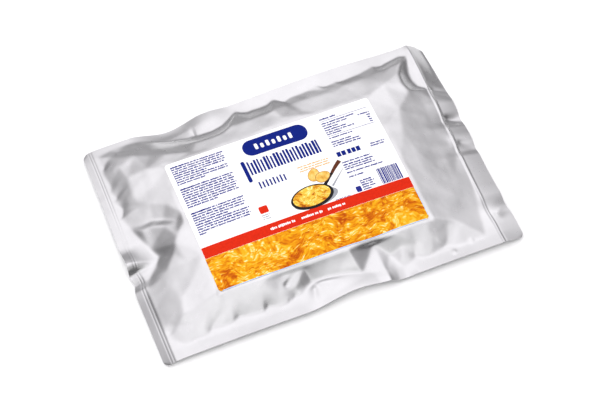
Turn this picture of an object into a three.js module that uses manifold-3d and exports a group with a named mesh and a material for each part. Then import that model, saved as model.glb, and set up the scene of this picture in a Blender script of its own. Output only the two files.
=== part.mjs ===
// A filled foil catering pouch lying on its back, with a printed paper label on its upper face.
// Two films of laminated foil are welded along all four sides. The filling makes a low pillow between
// the welds, the welds stay as thin flat flanges, and the film puckers where the pillow meets them.
// Millimetres. +X runs along the pouch, +Y across it, +Z up. The origin is the middle of the underside.
import * as THREE from 'three';
import { mergeVertices } from 'three/addons/utils/BufferGeometryUtils.js';
import Module from 'manifold-3d';

// ---------------------------------------------------------------- driving dimensions
const LENGTH = 406;                 // over the flanges, along X
const WIDTH = 276;                  // over the flanges, along Y
const WELD = { left: 11, right: 20, top: 12, bottom: 12 };
const CORNER_RADIUS = { left: 7, right: 7 };
const FLANGE_HEIGHT = 9.5;          // middle of an undisturbed flange above the table
const LOWEST_FLANGE = 0.8;          // where the flange would otherwise go through the table
const FLANGE_THICKNESS = 0.9;
const PILLOW_TOP = 32;              // highest point of the upper film, less the flange's thickness
const UPPER_PROFILE = { power: 4.0, soften: 0.8 };
const LOWER_PROFILE = { power: 6.0, soften: 0.7 };
const SAG = 1.5;                    // how far the lower film would hang below the table, which flattens it
const CORNER_DROOP = 3;             // of the two corners at the left end
const CORNER_POWER = 6;             // how closely the droop keeps to the corners
const LABEL = { length: 238, width: 167.6, x: -5.5, y: -4.5, radius: 4, thickness: 0.4, gap: 0.35 };
const LABEL_MARGIN = 7;             // the film stays smooth under the label up to this far from its edge
const CELLS = { x: 54, y: 36 };     // squares of film along and across the pouch
const LABEL_CELLS = { x: 20, y: 14 };
const LABEL_SPARE = 2;              // the label's sheet is this much too wide before its outline is cut

// The seam of the filling end: a low bead where the weld starts.
const BEAD = { inset: 21.2, slant: 6.5, height: 0.85, halfWidth: 2.6 };

// Where the flange leaves its plane: side, place along it, half length of the wave, rise, pull inwards.
// A wave fades out towards the middle of the pouch, over WAVE_FADE times the width of its weld.
const WAVES = [
  ['top', -104, 42, -5.5, 3.5],
  ['top', -52, 26, 1.5, 0],
  ['top', 90, 230, 0, 5],
  ['bottom', 12, 62, 4.5, 5],
  ['bottom', 68, 16, -1.2, 1.2],
  ['left', 130, 200, 0, 3.5],
  ['left', -14, 22, 3.5, 1],
  ['left', -36, 12, -3.5, 2.5],
  ['right', 60, 130, 0, -3.5],
  ['right', 52, 17, 2.5, 0],
  ['right', 28, 12, -3, 0.5],
  ['right', 4, 14, 1.5, 0],
  ['right', -14, 9, -2, 0.5],
  ['right', -96, 20, 3, 3],
];
const WAVE_FADE = 3;

// Broad lifts of the edge: place, half sizes, height. The far side stands higher than the near side.
const LIFTS = [
  { place: [-8, -113], half: [48, 20], height: 3 },
  { place: [-56, 122], half: [36, 30], height: 3.5 },
  { place: [84, 150], half: [150, 110], height: 11 },
  { place: [196, 112], half: [50, 80], height: 3 },
];

// How far the outer edge of each flap hangs down: places along the side with their drops.
const DROOPS = {
  left: [[-138, 5], [-60, 5.5], [-35, 3.5], [-20, -1], [15, 0], [40, 1], [80, 2.5], [138, 2]],
  right: [[-138, 5.5], [-104, 2.2], [-60, 5.2], [0, 6], [50, 6.8], [70, 9.3], [88, 11.5], [138, 12.5]],
  top: [[-203, 0.5], [-150, 0.5], [-100, 2], [-80, 1.5], [-50, 0], [150, -0.5], [203, 0]],
  bottom: [[-203, -1], [-100, -1.6], [-35, 0], [40, 0], [52, 2], [68, 2], [80, -1], [203, -1]],
};
const DROOP_WIDTH = { left: 13, right: 21, top: 13, bottom: 13 };

// Where the filling has been pushed away from the upper film: place, half sizes, depth.
const DENTS = [
  { place: [-178, 2], half: [46, 44], depth: 13 },
  { place: [-8, -116], half: [50, 22], depth: 9 },
  { place: [52, -108], half: [20, 26], depth: 7 },
  { place: [176, -106], half: [26, 60], depth: 6 },
  { place: [168, 20], half: [44, 110], depth: 3 },
];

// The folds of the upper film. Each runs from its root near a weld to its tip, bows to its left by
// bow at mid-length, and is deep where depth is above zero or a ridge where it is below. left and
// right are how far its two flanks reach.
const FOLDS = [
  // far side
  { root: [-25, 126], tip: [-93, 106], bow: 12, depth: 4, left: 10, right: 14 },
  { root: [20, 127], tip: [45, 88], bow: 2, depth: 3, left: 16, right: 9 },
  { root: [72, 126], tip: [88, 107], bow: -2, depth: 2, left: 12, right: 8 },
  { root: [141, 127], tip: [158, 105], bow: -2, depth: 2, left: 14, right: 8 },
  { root: [-90, 112], tip: [-86, 86], bow: 2, depth: 3, left: 12, right: 14 },
  // filling end
  { root: [182, 126], tip: [184, 64], bow: -15, depth: 3, left: 11, right: 10 },
  { root: [184, 28], tip: [140, 52], bow: 3, depth: 2, left: 11, right: 12 },
  { root: [181, -50], tip: [164, -128], bow: 2, depth: 2, left: 12, right: 14 },
  // near side
  { root: [-148, -126], tip: [-120, -104], bow: 3, depth: 2.2, left: 10, right: 12 },
  { root: [-115, -127], tip: [-100, -98], bow: 2, depth: 2.4, left: 10, right: 12 },
  { root: [-82, -127], tip: [-71, -103], bow: 2, depth: 2.8, left: 10, right: 13 },
  { root: [-49, -127], tip: [-44, -98], bow: 1, depth: 3, left: 10, right: 13 },
  { root: [25, -122], tip: [46, -92], bow: 0, depth: 4, left: 15, right: 10 },
  { root: [47, -137], tip: [48, -90], bow: 0, depth: -4, left: 12, right: 14 },
  { root: [84, -125], tip: [96, -94], bow: 1, depth: 1.6, left: 10, right: 11 },
  { root: [116, -121], tip: [129, -86], bow: 1, depth: 2, left: 11, right: 12 },
  // left end
  { root: [-190, 64], tip: [-161, 76], bow: 3, depth: 2.4, left: 10, right: 13 },
  { root: [-190, 40], tip: [-176, 54], bow: 2, depth: 2, left: 8, right: 12 },
  { root: [-186, 22], tip: [-130, 24], bow: 0, depth: 3, left: 16, right: 14 },
  { root: [-189, -42], tip: [-147, -16], bow: 2, depth: 4, left: 12, right: 10 },
  { root: [-203, -19], tip: [-164, -19], bow: 0, depth: -3.5, left: 18, right: 8 },
];
const FOLD_STEPS = 10;              // straight steps in which a fold's curve is measured
const FOLD_RISE = 0.22;             // share of a fold's length in which it reaches its full depth
const DEEPEST = 0.85;               // dents and folds take at most this share of the film's rise

// ---------------------------------------------------------------- small functions
const clamp = (v, low, high) => Math.min(high, Math.max(low, v));
const smooth = (t) => {
  const c = clamp(t, 0, 1);
  return c * c * (3 - 2 * c);
};
const bell = (t) => smooth(1 - Math.abs(t));
const LEFT = -LENGTH / 2;
const RIGHT = LENGTH / 2;
const TOP = WIDTH / 2;
const BOTTOM = -WIDTH / 2;

// How far x, y lies inside the pouch from one of its four sides, and how far along that side it is.
const SIDES = {
  left: (x, y) => [x - LEFT, y],
  right: (x, y) => [RIGHT - x, y],
  top: (x, y) => [TOP - y, x],
  bottom: (x, y) => [y - BOTTOM, x],
};

// A share from -1 to 1 of the way across the pillow between two welds.
const across = (v, low, high) => clamp((2 * v - low - high) / (high - low), -1, 1);

// A point's shares along and across the pillow.
function pillowShares(x, y) {
  return [
    across(x, LEFT + WELD.left, RIGHT - WELD.right),
    across(y, BOTTOM + WELD.bottom, TOP - WELD.top),
  ];
}

function pillow(x, y, { power, soften }) {
  const [a, b] = pillowShares(x, y).map((t) => (1 - Math.abs(t) ** power) ** soften);
  return a * b;
}

// ---------------------------------------------------------------- the flanges
function waveShare([side, place, half], x, y) {
  const [inside, along] = SIDES[side](x, y);
  return bell((along - place) / half) * smooth(1 - inside / (WAVE_FADE * WELD[side]));
}

// A mound, 1 at its place and 0 from its half sizes outwards.
const mound = ({ place, half }, x, y) =>
  smooth(1 - Math.hypot((x - place[0]) / half[0], (y - place[1]) / half[1]));

// The value at a place in a table of rising places with their values.
function fromTable(table, place) {
  const after = clamp(table.findIndex(([p]) => p > place), 1, table.length - 1);
  const [[p, v], [q, w]] = [table[after - 1], table[after]];
  return v + (w - v) * clamp((place - p) / (q - p), 0, 1);
}

const totalOf = (list, value) => list.reduce((sum, item) => sum + value(item), 0);

function droop(x, y) {
  return totalOf(Object.keys(DROOPS), (side) => {
    const [inside, along] = SIDES[side](x, y);
    return fromTable(DROOPS[side], along) * clamp(1 - inside / DROOP_WIDTH[side], 0, 1);
  });
}

// The middle of the flange. It eases out above the table rather than going through it.
function flangeHeight(x, y) {
  const corner = x < 0 ? Math.abs((x / RIGHT) * (y / TOP)) ** CORNER_POWER : 0;
  const waves = totalOf(WAVES, (wave) => wave[3] * waveShare(wave, x, y));
  const lifts = totalOf(LIFTS, (lift) => lift.height * mound(lift, x, y));
  const height = FLANGE_HEIGHT - CORNER_DROOP * corner + waves + lifts - droop(x, y);
  return LOWEST_FLANGE + Math.log1p(Math.exp(height - LOWEST_FLANGE));
}

// A grid point moves inwards where the film is drawn in, and round the corners.
function placeInPlan(x, y) {
  let px = x;
  let py = y;
  WAVES.forEach((wave) => {
    const side = wave[0];
    const move = wave[4] * waveShare(wave, x, y);
    if (side === 'left') px += move;
    if (side === 'right') px -= move;
    if (side === 'top') py -= move;
    if (side === 'bottom') py += move;
  });
  const radius = x < 0 ? CORNER_RADIUS.left : CORNER_RADIUS.right;
  const a = (Math.abs(x) - (RIGHT - radius)) / radius;
  const b = (Math.abs(y) - (TOP - radius)) / radius;
  if (a > 0 && b > 0) {
    px -= Math.sign(x) * radius * a * (1 - Math.sqrt(1 - (b * b) / 2));
    py -= Math.sign(y) * radius * b * (1 - Math.sqrt(1 - (a * a) / 2));
  }
  return [px, py];
}

// ---------------------------------------------------------------- the folds
// A fold's route is a parabola from root to tip.
function foldPoint({ root, tip, bow }, t) {
  const dx = tip[0] - root[0];
  const dy = tip[1] - root[1];
  const length = Math.hypot(dx, dy);
  const lift = (4 * bow * t * (1 - t)) / length;
  return [root[0] + t * dx - lift * dy, root[1] + t * dy + lift * dx];
}

// The nearest place on a fold: the share of its length, and the distance, above zero on its left.
function nearestOnFold(fold, x, y) {
  let best = { share: 0, offset: Infinity };
  for (let i = 0; i < FOLD_STEPS; i++) {
    const [ax, ay] = foldPoint(fold, i / FOLD_STEPS);
    const [bx, by] = foldPoint(fold, (i + 1) / FOLD_STEPS);
    const [ux, uy] = [bx - ax, by - ay];
    const t = clamp(((x - ax) * ux + (y - ay) * uy) / (ux * ux + uy * uy), 0, 1);
    const [vx, vy] = [x - ax - t * ux, y - ay - t * uy];
    const distance = Math.hypot(vx, vy);
    if (distance < Math.abs(best.offset)) {
      const left = ux * vy - uy * vx >= 0;
      best = { share: (i + t) / FOLD_STEPS, offset: left ? distance : -distance };
    }
  }
  return best;
}

function foldDepth(fold, x, y) {
  const { share, offset } = nearestOnFold(fold, x, y);
  const reach = offset > 0 ? fold.left : fold.right;
  const flank = clamp(1 - Math.abs(offset) / reach, 0, 1) ** 2;
  const run = smooth(share / FOLD_RISE) * smooth((1 - share) / (1 - FOLD_RISE));
  return fold.depth * flank * run;
}

// Folds die out where the label holds the film flat.
function labelHold(x, y) {
  const dx = Math.abs(x - LABEL.x) - LABEL.length / 2;
  const dy = Math.abs(y - LABEL.y) - LABEL.width / 2;
  return smooth(Math.max(dx, dy) / LABEL_MARGIN);
}

// ---------------------------------------------------------------- the two films
// The bead slants a little across the filling end, as the weld of a hand-fed sealer does.
function bead(x, y) {
  const line = RIGHT - BEAD.inset + (BEAD.slant * y) / WIDTH;
  return BEAD.height * bell((x - line) / BEAD.halfWidth);
}

// How far the filling lifts the upper film above the flange.
function filmRise(x, y) {
  const fullRise = PILLOW_TOP - flangeHeight(x, y);
  const rise = fullRise * pillow(x, y, UPPER_PROFILE);
  const pushedIn = totalOf(DENTS, (dent) => dent.depth * mound(dent, x, y)) * labelHold(x, y);
  return rise - Math.min(pushedIn, DEEPEST * rise);
}

// The label follows the film without its folds, so it bridges any fold at its edge.
const crown = (x, y) => flangeHeight(x, y) + FLANGE_THICKNESS / 2 + filmRise(x, y);

function upperFilm(x, y) {
  const folds = totalOf(FOLDS, (fold) => foldDepth(fold, x, y)) * labelHold(x, y);
  return crown(x, y) - Math.min(folds, DEEPEST * filmRise(x, y)) + bead(x, y);
}

function lowerFilm(x, y) {
  const middle = flangeHeight(x, y);
  const hang = (middle + SAG) * pillow(x, y, LOWER_PROFILE);
  return Math.max(0, middle - FLANGE_THICKNESS / 2 - hang);
}

// ---------------------------------------------------------------- closed grids
// A closed body between two heights over a grid of x, y places.
function closedGrid(xs, ys, place, upper, lower) {
  const columns = xs.length;
  const positions = [];
  [upper, lower].forEach((height) => {
    ys.forEach((y) => {
      xs.forEach((x) => positions.push(...place(x, y), height(x, y)));
    });
  });
  const index = [];
  const layer = columns * ys.length;
  const at = (i, j, side) => side * layer + j * columns + i;
  for (let j = 0; j < ys.length - 1; j++) {
    for (let i = 0; i < columns - 1; i++) {
      const upperCorners = [at(i, j, 0), at(i + 1, j, 0), at(i + 1, j + 1, 0), at(i, j + 1, 0)];
      const [a, b, c, d] = upperCorners;
      const [e, f, g, h] = upperCorners.map((v) => v + layer);
      index.push(a, b, c, a, c, d, e, g, f, e, h, g);
    }
  }
  const rim = [];
  for (let i = 0; i < columns - 1; i++) rim.push([i, 0]);
  for (let j = 0; j < ys.length - 1; j++) rim.push([columns - 1, j]);
  for (let i = columns - 1; i > 0; i--) rim.push([i, ys.length - 1]);
  for (let j = ys.length - 1; j > 0; j--) rim.push([0, j]);
  rim.forEach(([i, j], n) => {
    const [k, l] = rim[(n + 1) % rim.length];
    index.push(at(i, j, 0), at(i, j, 1), at(k, l, 1), at(i, j, 0), at(k, l, 1), at(k, l, 0));
  });
  const geometry = new THREE.BufferGeometry();
  geometry.setAttribute('position', new THREE.Float32BufferAttribute(positions, 3));
  geometry.setIndex(index);
  return geometry;
}

const stations = (low, high, cells) =>
  Array.from({ length: cells + 1 }, (_, i) => low + ((high - low) * i) / cells);

// ---------------------------------------------------------------- the pieces
function pouchGeometry() {
  const xs = stations(LEFT, RIGHT, CELLS.x);
  const ys = stations(BOTTOM, TOP, CELLS.y);
  return closedGrid(xs, ys, placeInPlan, upperFilm, lowerFilm);
}

function roundedRectangle(length, width, radius) {
  const [a, b] = [length / 2, width / 2];
  const shape = new THREE.Shape();
  shape.moveTo(-a + radius, -b);
  shape.lineTo(a - radius, -b);
  shape.absarc(a - radius, -b + radius, radius, -Math.PI / 2, 0);
  shape.lineTo(a, b - radius);
  shape.absarc(a - radius, b - radius, radius, 0, Math.PI / 2);
  shape.lineTo(-a + radius, b);
  shape.absarc(-a + radius, b - radius, radius, Math.PI / 2, Math.PI);
  shape.lineTo(-a, -b + radius);
  shape.absarc(-a + radius, -b + radius, radius, Math.PI, 1.5 * Math.PI);
  return shape;
}

const wasm = await Module();
wasm.setup();

function solidOf(geometry) {
  const bare = geometry.clone();
  bare.deleteAttribute('normal');
  bare.deleteAttribute('uv');
  const merged = mergeVertices(bare, 1e-4);
  const vertProperties = new Float32Array(merged.attributes.position.array);
  const triVerts = new Uint32Array(merged.index.array);
  return new wasm.Manifold(new wasm.Mesh({ numProp: 3, vertProperties, triVerts }));
}

function geometryOf(solid) {
  const mesh = solid.getMesh();
  const geometry = new THREE.BufferGeometry();
  geometry.setAttribute('position', new THREE.Float32BufferAttribute(mesh.vertProperties, 3));
  geometry.setIndex(Array.from(mesh.triVerts));
  geometry.computeVertexNormals();
  return geometry;
}

function labelGeometry() {
  const [a, b] = [LABEL.length / 2 + LABEL_SPARE, LABEL.width / 2 + LABEL_SPARE];
  const xs = stations(LABEL.x - a, LABEL.x + a, LABEL_CELLS.x);
  const ys = stations(LABEL.y - b, LABEL.y + b, LABEL_CELLS.y);
  const lower = (x, y) => crown(x, y) + LABEL.gap;
  const upper = (x, y) => lower(x, y) + LABEL.thickness;
  const sheet = closedGrid(xs, ys, (x, y) => [x, y], upper, lower);
  const cutter = new THREE.ExtrudeGeometry(
    roundedRectangle(LABEL.length, LABEL.width, LABEL.radius),
    { depth: 2 * PILLOW_TOP, bevelEnabled: false, curveSegments: 5 },
  ).translate(LABEL.x, LABEL.y, 0);
  return geometryOf(solidOf(sheet).intersect(solidOf(cutter)));
}

function pieceMesh(name, geometry, colour, roughness, metalness) {
  geometry.computeVertexNormals();
  const material = new THREE.MeshStandardMaterial({ color: colour, roughness, metalness });
  const mesh = new THREE.Mesh(geometry, material);
  mesh.name = name;
  return mesh;
}

// ---------------------------------------------------------------- the object
const pouch = pieceMesh('pouch', pouchGeometry(), 0xc9cacf, 0.4, 1);
const label = pieceMesh('label', labelGeometry(), 0xf7f7f5, 0.55, 0);
const foilPack = new THREE.Group();
foilPack.add(pouch, label);

// The outline isn't symmetric, so the pack is centred over its origin and set down on it.
const box = new THREE.Box3().setFromObject(foilPack);
const centre = box.getCenter(new THREE.Vector3());
[pouch, label].forEach((mesh) => mesh.position.set(-centre.x, -centre.y, -box.min.z));

export default foilPack;
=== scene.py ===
"""Looks of a filled foil catering pouch that lies on its back with a printed paper label on top.

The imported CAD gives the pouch's outline, height and place. Here its two solids are replaced by a fine
foil skin with its welds, puckers and creases, by a thin paper label, and by the label's printed fields.
Sizes are in millimetres until a mesh is made, and every piece is in the frame of the CAD model.
"""

import math

import bpy
import numpy as np
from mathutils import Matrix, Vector
from mathutils.geometry import delaunay_2d_cdt


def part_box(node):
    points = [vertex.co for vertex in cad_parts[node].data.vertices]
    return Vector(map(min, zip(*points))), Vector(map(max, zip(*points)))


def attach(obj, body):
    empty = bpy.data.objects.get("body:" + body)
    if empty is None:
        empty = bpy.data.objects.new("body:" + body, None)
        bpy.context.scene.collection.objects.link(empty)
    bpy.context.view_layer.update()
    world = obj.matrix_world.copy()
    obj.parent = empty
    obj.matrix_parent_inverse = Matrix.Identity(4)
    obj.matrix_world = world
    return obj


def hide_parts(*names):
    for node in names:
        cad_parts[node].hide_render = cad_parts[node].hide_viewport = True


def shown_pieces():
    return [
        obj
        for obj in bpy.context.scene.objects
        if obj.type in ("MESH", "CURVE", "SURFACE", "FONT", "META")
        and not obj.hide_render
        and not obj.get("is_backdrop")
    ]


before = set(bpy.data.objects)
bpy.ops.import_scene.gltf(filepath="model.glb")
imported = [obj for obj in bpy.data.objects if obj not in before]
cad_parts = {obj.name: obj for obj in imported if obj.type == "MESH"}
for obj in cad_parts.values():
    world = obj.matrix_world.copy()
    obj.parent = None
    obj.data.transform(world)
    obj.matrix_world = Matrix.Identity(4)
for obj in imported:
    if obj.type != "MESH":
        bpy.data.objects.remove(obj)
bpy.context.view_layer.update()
MM = 0.001

# ------------------------------------------------------------------ sizes shared with the CAD model
POUCH_LOW, POUCH_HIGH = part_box("pouch")
LABEL_LOW, LABEL_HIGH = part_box("label")
LENGTH = 406.0
WIDTH = 276.0
WELD = {"left": 11.0, "right": 20.0, "top": 12.0, "bottom": 12.0}
CORNER_RADIUS = {"left": 7.0, "right": 7.0}
FLANGE_HEIGHT = 9.5
FLANGE_THICKNESS = 0.5
PILLOW_TOP = 36.0
UPPER_PROFILE = (3.0, 0.85)
LOWER_PROFILE = (6.0, 0.7)
SAG = 1.5
CORNER_DROOP = 3.0
LOWEST_FLANGE = 0.6
LABEL = {"length": 238.0, "width": 167.6, "x": -5.5, "y": -4.5, "radius": 4.0}
LABEL_MARGIN = 4.0
BEAD = {"inset": 21.2, "slant": 6.5, "height": 0.85, "half_width": 2.6}
PRESSED = {"insets": (7.6, 10.6), "depth": 0.2, "half_width": 1.2}

LEFT, RIGHT = -LENGTH / 2, LENGTH / 2
BOTTOM, TOP = -WIDTH / 2, WIDTH / 2

# Side, place along it, half length of the wave, rise, pull inwards.
WAVES = [
    ("top", -104, 42, -5.5, 3.5),
    ("top", -52, 26, 1.5, 0),
    ("top", 90, 230, 0, 5.0),
    ("bottom", 12, 62, 4.5, 5.0),
    ("bottom", 68, 16, -1.2, 1.2),
    ("left", 130, 200, 0, 3.5),
    ("left", -14, 22, 3.5, 1.0),
    ("left", -36, 12, -3.5, 2.5),
    ("right", 60, 130, 0, -3.5),
    ("right", 52, 17, 2.5, 0),
    ("right", 28, 12, -3, 0.5),
    ("right", 4, 14, 1.5, 0),
    ("right", -14, 9, -2, 0.5),
    ("right", -96, 20, 3, 3),
]

# The film's lie as creased facets. Every point is x, y and height, with None for a height on the flange.
# x and y are where the camera's line through the point meets the plane SIGHT_PLANE up.
SIGHT = (0.24, 0.58)
SIGHT_PLANE = 12.0
FOOT = [
    # far side, from the left
    (-187, 125), (-170, 128), (-150, 129), (-139, 128), (-122, 123), (-106, 117), (-95, 114), (-84, 111.5),
    (-72, 110.5), (-58, 110.5), (-45, 113.5), (-35, 119), (-24, 127), (-12, 122), (0, 121), (12, 122), (20, 127),
    (30, 122), (45, 121.5), (60, 123), (71, 127.5), (78, 122), (86, 121), (94, 123), (104, 121), (120, 122),
    (132, 125), (141, 128.5), (149, 124), (160, 126), (171, 128.5), (180, 125),
    # filling end
    (176, 112), (172.5, 100), (171.5, 90), (174, 80), (183.5, 71), (182.5, 58), (183, 44), (183, 30), (182, 10),
    (182, -10), (181, -40), (176, -70), (170, -100), (163, -125),
    # near side
    (148, -124), (136, -125), (126, -123), (116, -121), (100, -124.5), (84, -123), (74, -126), (66, -126),
    (48, -126), (36, -122), (25, -118), (12, -113), (0, -110), (-14, -108), (-28, -107), (-38, -112),
    (-44, -119), (-49, -125), (-57, -121), (-66, -122), (-74, -122), (-82, -126), (-92, -121), (-104, -120),
    (-115, -126), (-125, -121), (-138, -121), (-149, -125), (-162, -124), (-176, -126), (-189, -126),
    # bottom end
    (-191, -112), (-192, -96), (-193, -78), (-193, -62), (-191, -52), (-184, -38), (-173, -28), (-166, -18),
    (-172, -5), (-178, 11), (-183, 26), (-190, 42), (-185, 54), (-190, 66), (-186, 84), (-189, 100), (-186, 114),
]
CREASES = [
    # the flat under the label
    [(-118, 85, 25.5), (-60, 87.5, 25), (0, 89.5, 25.2), (60, 87.5, 25), (113, 85, 25.5), (117, 40, 28),
     (118, 0, 28), (117, -40, 27), (113, -78, 26), (60, -80, 27), (0, -80, 27.5), (-60, -79, 27.5),
     (-117, -78, 26.5), (-120, -30, 27.5), (-121, 20, 28.5), (-120, 50, 28), (-118, 85, 25.5)],
    [(-60, 45, 29.5), (0, 52, 29.8), (60, 45, 29.5), (75, 0, 30), (60, -35, 29), (0, -40, 29.5),
     (-60, -35, 29), (-75, 0, 30), (-60, 45, 29.5)],
    [(0, 10, 32)],
    # bottom end: the upper shoulder
    [(-172, 119, 12), (-166, 105, 17.5), (-163, 88, 19.5), (-165, 76, 18.5), (-165, 60, 18), (-160, 48, 19)],
    [(-140, 90, 23.5)], [(-140, 65, 23.5)], [(-148, 112, 18)],
    # its two lobes and the valley between them
    [(-190, 42, None), (-152, 49, 21.5), (-137, 42, 24.5), (-123, 27, 27.5), (-126, 12, 27.5), (-138, 1, 26),
     (-143, -8, 25), (-150, -20, 21), (-164, -37, 16.5), (-178, -46, 13), (-191, -52, None)],
    [(-178, 11, None), (-171, 18.5, 15), (-159, 20, 18.5), (-146, 16, 22), (-138, 1, 26)],
    [(-183, 26, None), (-168, 25.5, 13.5), (-156, 27, 16), (-145, 23, 18), (-133, 17, 22.5)],
    [(-166, -18, None), (-143, -8, 25)],
    [(-166, -18, None), (-150, -20, 21)],
    [(-173, -28, None), (-164, -37, 16.5)],
    # the lower shoulder
    [(-178, -46, 13), (-166, -56, 17.5), (-161, -74, 20), (-164, -90, 19), (-176, -102, 13.5)],
    [(-139, -34, 23)], [(-144, -60, 23)], [(-144, -86, 21.5)], [(-158, -106, 15)], [(-135, -106, 16)],
    # far side
    [(-150, 129, None), (-133, 107, 18), (-115, 101, 22.5), (-95, 114, None)],
    [(-95, 114, None), (-92, 105, 16), (-87, 93, 22.5)],
    [(-84, 111.5, None), (-78, 103.5, 20.8), (-60, 102.5, 22), (-48, 103.5, 22), (-38, 108, 21.5), (-24, 127, None)],
    [(-24, 127, None), (-14, 108, 22)],
    [(-8, 109, 21.8), (6, 109, 21.8)],
    [(20, 127, None), (32, 112, 19.8), (47, 95, 23.5)],
    [(20, 127, None), (14, 110, 23), (20, 98, 24.4)],
    [(40, 111, 21), (58, 110.5, 21)],
    [(71, 127.5, None), (80, 115, 19.8), (88, 108, 22)],
    [(98, 112, 21.0), (126, 113, 21.0)],
    [(141, 128.5, None), (150, 116, 20.8), (160, 110, 22.5)],
    # filling end
    [(180, 125, None), (170, 118, 21.5), (162, 105, 24), (160, 90, 24.5), (163, 79, 23), (171, 75, 18.5),
     (183.5, 71, None)],
    [(140, 95, 26)], [(160, 76, 23), (143, 60, 25.5), (165, 38, 16.2), (183, 30, None)],
    [(160, 76, 23), (164, 58, 17.8), (165, 38, 16.2)],
    [(135, 30, 25.5), (140, 0, 23), (136, -35, 22), (119, -62, 25.5), (140, -95, 17.5), (163, -125, None)],
    [(160, 5, 16.8)], [(160, -50, 15.2)],
    # near side: the raised lip and the large fold to its right
    [(-28, -107, None), (0, -110, None), (25, -118, None), (21, -84, 26)],
    [(25, -118, None), (48, -89, 17), (48, -126, None)],
    [(21, -84, 26), (48, -89, 17), (59, -108, 10.5), (66, -126, None)],
    [(59, -108, 10.5), (76, -102, 16.5), (76, -86, 24.5)],
    [(48, -89, 17), (62, -87, 21), (76, -86, 24.5)],
    [(-76, -87, 24.5), (-52, -87, 21), (-30, -88, 21), (-22, -84, 24.6)],
    [(-52, -87, 21), (-48, -106, 15.5)],
    [(95, -105, 16.3), (110, -104, 16.6)],
    [(-66, -104, 16.6)], [(-98, -104, 16.8)],
]
FACET_STEP = 1.0
CRISP = 1.5
BROAD = 7.0

# Creases: root, tip, bow to the left of the way from root to tip, depth (a ridge is below 0), reach of the
# left and right flanks, and how round the crease is at its root and at its tip.
FOLDS = [
    # far side
    ((-24, 128), (-8, 104), 3, 0.9, 10, 14, 0.5, 5),
    ((20, 128), (46, 84), 2, 1.6, 14, 8, 0.5, 1.5),
    ((71, 128), (80, 112), 2, 1.4, 8, 7, 0.5, 2),
    ((94, 123), (99, 112), 1, 1.0, 7, 7, 0.5, 3),
    ((141, 129), (155, 108), -3, 1.2, 10, 8, 0.5, 2),
    ((-170, 129), (-130, 118), -4, 0.5, 8, 6, 0.8, 3),
    # filling end
    ((182, 0), (145, 6), 0, 0.8, 16, 14, 1, 6),
    ((180, -12), (148, -64), 3, 1.0, 16, 14, 1, 6),
    # near side
    ((-149, -125), (-117, -104), 5, 1.9, 12, 7, 0.5, 3),
    ((-115, -126), (-102, -102), 3, 1.9, 9, 13, 0.5, 4),
    ((-115, -126), (-121, -115), 1, 1.0, 5, 4, 0.5, 1.5),
    ((-82, -126), (-71, -106), 3, 2.4, 8, 15, 0.4, 3),
    ((-59, -122), (-55, -116), 0, 1.2, 4, 6, 0.4, 1),
    ((-49, -126), (-50, -100), 0, 2.0, 12, 10, 0.4, 3),
    ((-60, -104), (-40, -95), 0, 1.6, 4, 8, 0.4, 1),
    ((84, -126), (99, -90), 3, 1.1, 10, 10, 1.2, 3),
    ((115, -124), (130, -86), -5, 1.3, 13, 10, 0.8, 3),
    ((125, -132), (124, -122), 0, -0.8, 4, 4, 1, 1.5),
    ((148, -126), (146, -118), 0, -0.7, 4, 4, 1, 1.5),
    # bottom end
    ((-190, 66), (-160, 76), 2, 1.8, 10, 14, 0.5, 3),
    ((-190, 42), (-172, 58), 3, 1.5, 9, 12, 0.5, 3),
    ((-188, 108), (-172, 120), 0, 0.8, 6, 6, 0.5, 1.5),
    ((-190, -110), (-164, -96), 2, 1.0, 9, 8, 0.6, 3),
]
FOLD_STEPS = 14
FOLD_RISE = 0.22
ROOT_REACH = 0.45

# Broad soft dents and lumps: place, half sizes, turn in degrees, depth (a lump is below 0).
DENTS = [
    ((-160, 100), (16, 14), 0, 0.6),
    ((150, -30), (16, 40), 8, 0.6),
]

# Creases and lumps of the whole edge, both films together, given as FOLDS and DENTS are.
EDGE_FOLDS = [
    ((-210, -17), (-165, -18), 0, -3.4, 26, 7, 0.3, 0.4),
    ((-210, -27), (-172, -23), 0, 4.2, 5, 9, 0.4, 0.4),
    ((188, 150), (183, 58), 0, -3.0, 18, 18, 1.0, 1.0),
    ((183, -106), (207, -90), 0, -1.6, 11, 11, 1, 2),
    ((184, 34), (207, 24), 0, 2.4, 8, 9, 0.5, 1),
    ((184, -2), (206, -10), 0, 1.4, 7, 9, 0.5, 1),
    ((184, 74), (206, 66), 0, 1.6, 6, 10, 0.5, 1),
    ((49, -150), (47, -104), 0, -3.0, 14, 14, 0.5, 0.8),
    ((-28, -110), (-36, -140), 0, -1.4, 7, 9, 0.5, 2),
    ((-28, -110), (8, -120), 1, -1.2, 5, 9, 0.4, 2),
    ((-77, 110), (-77, 130), 0, 1.2, 5, 3, 0.4, 0.8),
]
EDGE_LUMPS = [
    ((-8, -113), (48, 20), 0, -3.0),
    ((-56, 122), (36, 30), 0, -3.5),
    ((84, 150), (150, 110), 0, -11.0),
    ((-178, 10), (16, 26), 0, -0.8),
    ((196, 112), (50, 80), 0, -3.0),
]

# Slow unevenness of the filling and fine unevenness of the film: wave length and height.
LUMPS = [(46.0, 0.22), (22.0, 0.08), (9.0, 0.018)]


# ------------------------------------------------------------------ the shape of the film
def smooth(t):
    c = np.clip(t, 0, 1)
    return c * c * (3 - 2 * c)


def bell(t):
    return smooth(1 - np.abs(t))


def from_side(side, x, y):
    """How far x, y lies inside the pouch from a side, and how far along that side it is."""
    return {"left": (x - LEFT, y), "right": (RIGHT - x, y), "top": (TOP - y, x), "bottom": (y - BOTTOM, x)}[side]


def on_sight_line(x, y, height):
    """The place of a point given by where its sight line meets the sight plane."""
    return x - SIGHT[0] * (height - SIGHT_PLANE), y - SIGHT[1] * (height - SIGHT_PLANE)


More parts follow.
